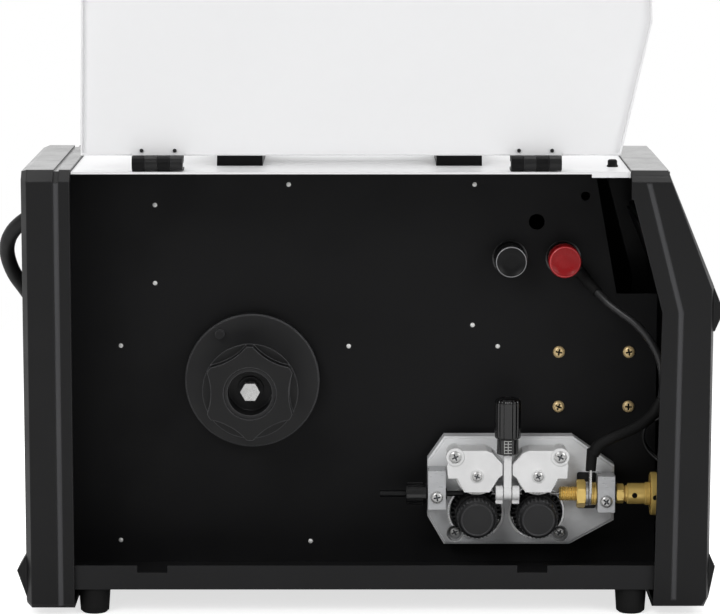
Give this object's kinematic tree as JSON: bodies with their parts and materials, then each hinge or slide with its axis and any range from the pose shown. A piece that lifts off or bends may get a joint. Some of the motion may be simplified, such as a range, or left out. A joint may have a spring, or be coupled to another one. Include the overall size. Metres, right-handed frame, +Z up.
{
  "type": "mig welding machine",
  "caption": "Portable MIG welder with its side door open: wire feeder, spool holder, binding posts and torch adapter in front of a divider, electronics and fan behind it.",
  "frame": {"origin": "on the ground under the middle of the case", "axes": "+X to the machine's front, where the torch plugs in; -Y to the door side; +Z up"},
  "size_m": [0.512, 0.3727, 0.6031],
  "materials": {
    "white_powder_coat": "semi gloss white powder coat",
    "black_powder_coat": "fine textured black powder coat",
    "black_moulding": "fine textured moulded black plastic",
    "panel_grey": "dark grey paint",
    "rubber": "matte",
    "black_plastic": "satin moulded plastic",
    "steel_bright": "zinc plated",
    "steel_dark": "dark machined steel",
    "yellow_zinc": "yellow zinc plated",
    "cast_aluminium": "die cast, fine grained",
    "light_alloy": "satin",
    "brass": "machined",
    "red_plastic": "glossy",
    "white_rivet": "dull",
    "circuit_board": "solder resist",
    "iron_core": "varnished",
    "motor_grey": "satin",
    "lead_sheath": "satin rubber"
  },
  "bodies": {
    "chassis": {"base_tray": "black_powder_coat", "top_cover": "white_powder_coat", "divider_panel": "black_powder_coat", "rear_bezel": "black_moulding", "rear_panel": "black_powder_coat", "front_bezel": "black_moulding", "front_panel": "panel_grey", "rubber_feet": "rubber", "carry_handle": "black_plastic", "case_screws": "steel_bright", "hinge_fixed_leaves": "black_powder_coat", "hinge_pins": "steel_bright", "divider_rivets": "white_rivet", "divider_screws": "yellow_zinc", "spool_spindle": "steel_bright", "feeder_insulator": "black_plastic", "feeder_plate": "cast_aluminium", "feeder_screws": "steel_bright", "feed_motor": "motor_grey", "wire_guides": "black_plastic", "torch_adapter": "brass", "torch_socket": "black_plastic", "jumper_cable": "lead_sheath", "jumper_lugs": "steel_bright", "terminal_studs": "brass", "output_sockets": "black_plastic", "circuit_boards": "circuit_board", "heat_sinks": "light_alloy", "magnetics": "iron_core", "fan_frame": "black_plastic", "gas_valve": "brass", "switch_body": "black_plastic", "strain_relief": "rubber", "mains_lead": "lead_sheath", "mains_coil": "lead_sheath", "mains_plug": "black_plastic"},
    "door": {"door_panel": "white_powder_coat", "hinge_door_leaves": "black_powder_coat"},
    "door_latch_rear": {"door_latch_rear": "black_plastic"},
    "door_latch_front": {"door_latch_front": "black_plastic"},
    "spool_hub": {"spool_hub": "black_plastic"},
    "spool_nut": {"spool_nut": "black_plastic"},
    "motor_pinion": {"motor_pinion": "steel_dark"},
    "drive_roll_rear": {"drive_roll_rear": "steel_dark", "roll_cap_rear": "black_plastic"},
    "drive_roll_front": {"drive_roll_front": "steel_dark", "roll_cap_front": "black_plastic"},
    "pressure_arm_rear": {"pressure_arm_rear": "light_alloy"},
    "pressure_arm_front": {"pressure_arm_front": "light_alloy"},
    "pressure_roll_rear": {"pressure_roll_rear": "steel_dark"},
    "pressure_roll_front": {"pressure_roll_front": "steel_dark"},
    "tension_lever": {"tension_lever": "steel_bright"},
    "tension_knob": {"tension_knob": "black_plastic"},
    "inlet_nut": {"inlet_nut": "black_plastic"},
    "red_terminal": {"red_terminal": "red_plastic"},
    "black_terminal": {"black_terminal": "black_plastic"},
    "fan_rotor": {"fan_rotor": "black_plastic"},
    "power_rocker": {"power_rocker": "red_plastic"},
    "left_dial": {"left_dial": "black_plastic"},
    "right_dial": {"right_dial": "black_plastic"}
  },
  "joints": [
    {"name": "door_hinge", "type": "hinge", "parent": "chassis", "child": "door", "pos_m": [0, -0.084, 0.3162], "axis": [1, 0, 0], "range_deg": [0, 191]},
    {"name": "door_latch_rear_slide", "type": "slide", "parent": "door", "child": "door_latch_rear", "axis": [0, 0.1908, 0.9816], "range_m": [0, 0.009]},
    {"name": "door_latch_front_slide", "type": "slide", "parent": "door", "child": "door_latch_front", "axis": [0, 0.1908, 0.9816], "range_m": [0, 0.009]},
    {"name": "spool_hub_spin", "type": "hinge", "parent": "chassis", "child": "spool_hub", "pos_m": [-0.0825, -0.04, 0.1545], "axis": [0, 1, 0], "continuous": true},
    {"name": "spool_nut_turn", "type": "hinge", "parent": "spool_hub", "child": "spool_nut", "pos_m": [-0.0825, -0.07, 0.1545], "axis": [0, 1, 0], "continuous": true},
    {"name": "drive_roll_rear_spin", "type": "hinge", "parent": "chassis", "child": "drive_roll_rear", "pos_m": [0.0766, -0.038, 0.061], "axis": [0, 1, 0], "continuous": true},
    {"name": "drive_roll_front_spin", "type": "hinge", "parent": "chassis", "child": "drive_roll_front", "pos_m": [0.1198, -0.038, 0.061], "axis": [0, 1, 0], "continuous": true},
    {"name": "motor_pinion_spin", "type": "hinge", "parent": "chassis", "child": "motor_pinion", "pos_m": [0.0982, -0.018, 0.05027], "axis": [0, 1, 0], "continuous": true},
    {"name": "tension_lever_swing", "type": "hinge", "parent": "chassis", "child": "tension_lever", "pos_m": [0.0982, -0.05, 0.079], "axis": [-1, 0, 0], "range_deg": [-100, 0]},
    {"name": "tension_knob_turn", "type": "hinge", "parent": "tension_lever", "child": "tension_knob", "pos_m": [0.0982, -0.05, 0.12], "axis": [0, 0, 1], "continuous": true},
    {"name": "pressure_arm_rear_lift", "type": "hinge", "parent": "chassis", "child": "pressure_arm_rear", "pos_m": [0.0612, -0.038, 0.105], "axis": [0, -1, 0], "range_deg": [0, 22]},
    {"name": "pressure_arm_front_lift", "type": "hinge", "parent": "chassis", "child": "pressure_arm_front", "pos_m": [0.1352, -0.038, 0.105], "axis": [0, 1, 0], "range_deg": [0, 22]},
    {"name": "pressure_roll_rear_spin", "type": "hinge", "parent": "pressure_arm_rear", "child": "pressure_roll_rear", "pos_m": [0.0766, -0.038, 0.0911], "axis": [0, 1, 0], "continuous": true},
    {"name": "pressure_roll_front_spin", "type": "hinge", "parent": "pressure_arm_front", "child": "pressure_roll_front", "pos_m": [0.1198, -0.038, 0.0911], "axis": [0, 1, 0], "continuous": true},
    {"name": "inlet_nut_turn", "type": "hinge", "parent": "chassis", "child": "inlet_nut", "pos_m": [0.034, -0.038, 0.076], "axis": [1, 0, 0], "continuous": true},
    {"name": "red_terminal_turn", "type": "hinge", "parent": "chassis", "child": "red_terminal", "pos_m": [0.1386, -0.025, 0.241], "axis": [0, 1, 0], "continuous": true},
    {"name": "black_terminal_turn", "type": "hinge", "parent": "chassis", "child": "black_terminal", "pos_m": [0.1007, -0.025, 0.241], "axis": [0, 1, 0], "continuous": true},
    {"name": "fan_spin", "type": "hinge", "parent": "chassis", "child": "fan_rotor", "pos_m": [-0.2, 0.0421, 0.15], "axis": [1, 0, 0], "continuous": true},
    {"name": "power_rocker_tilt", "type": "hinge", "parent": "chassis", "child": "power_rocker", "pos_m": [-0.2115, 0.052, 0.264], "axis": [0, 1, 0], "range_deg": [0, 12]},
    {"name": "left_dial_turn", "type": "hinge", "parent": "chassis", "child": "left_dial", "pos_m": [0.21974, -0.048, 0.23439], "axis": [0.9269, 0, 0.3754], "range_deg": [-140, 140]},
    {"name": "right_dial_turn", "type": "hinge", "parent": "chassis", "child": "right_dial", "pos_m": [0.21974, 0.048, 0.23439], "axis": [0.9269, 0, 0.3754], "range_deg": [-140, 140]}
  ],
  "couplings": [
    {"joint": "drive_roll_front_spin", "follows": "drive_roll_rear_spin", "ratio": 1},
    {"joint": "motor_pinion_spin", "follows": "drive_roll_rear_spin", "ratio": -2.2},
    {"joint": "pressure_roll_rear_spin", "follows": "drive_roll_rear_spin", "ratio": -1.0067},
    {"joint": "pressure_roll_front_spin", "follows": "drive_roll_rear_spin", "ratio": -1.0067},
    {"joint": "pressure_arm_rear_lift", "follows": "tension_lever_swing", "ratio": -0.22},
    {"joint": "pressure_arm_front_lift", "follows": "tension_lever_swing", "ratio": -0.22}
  ]
}
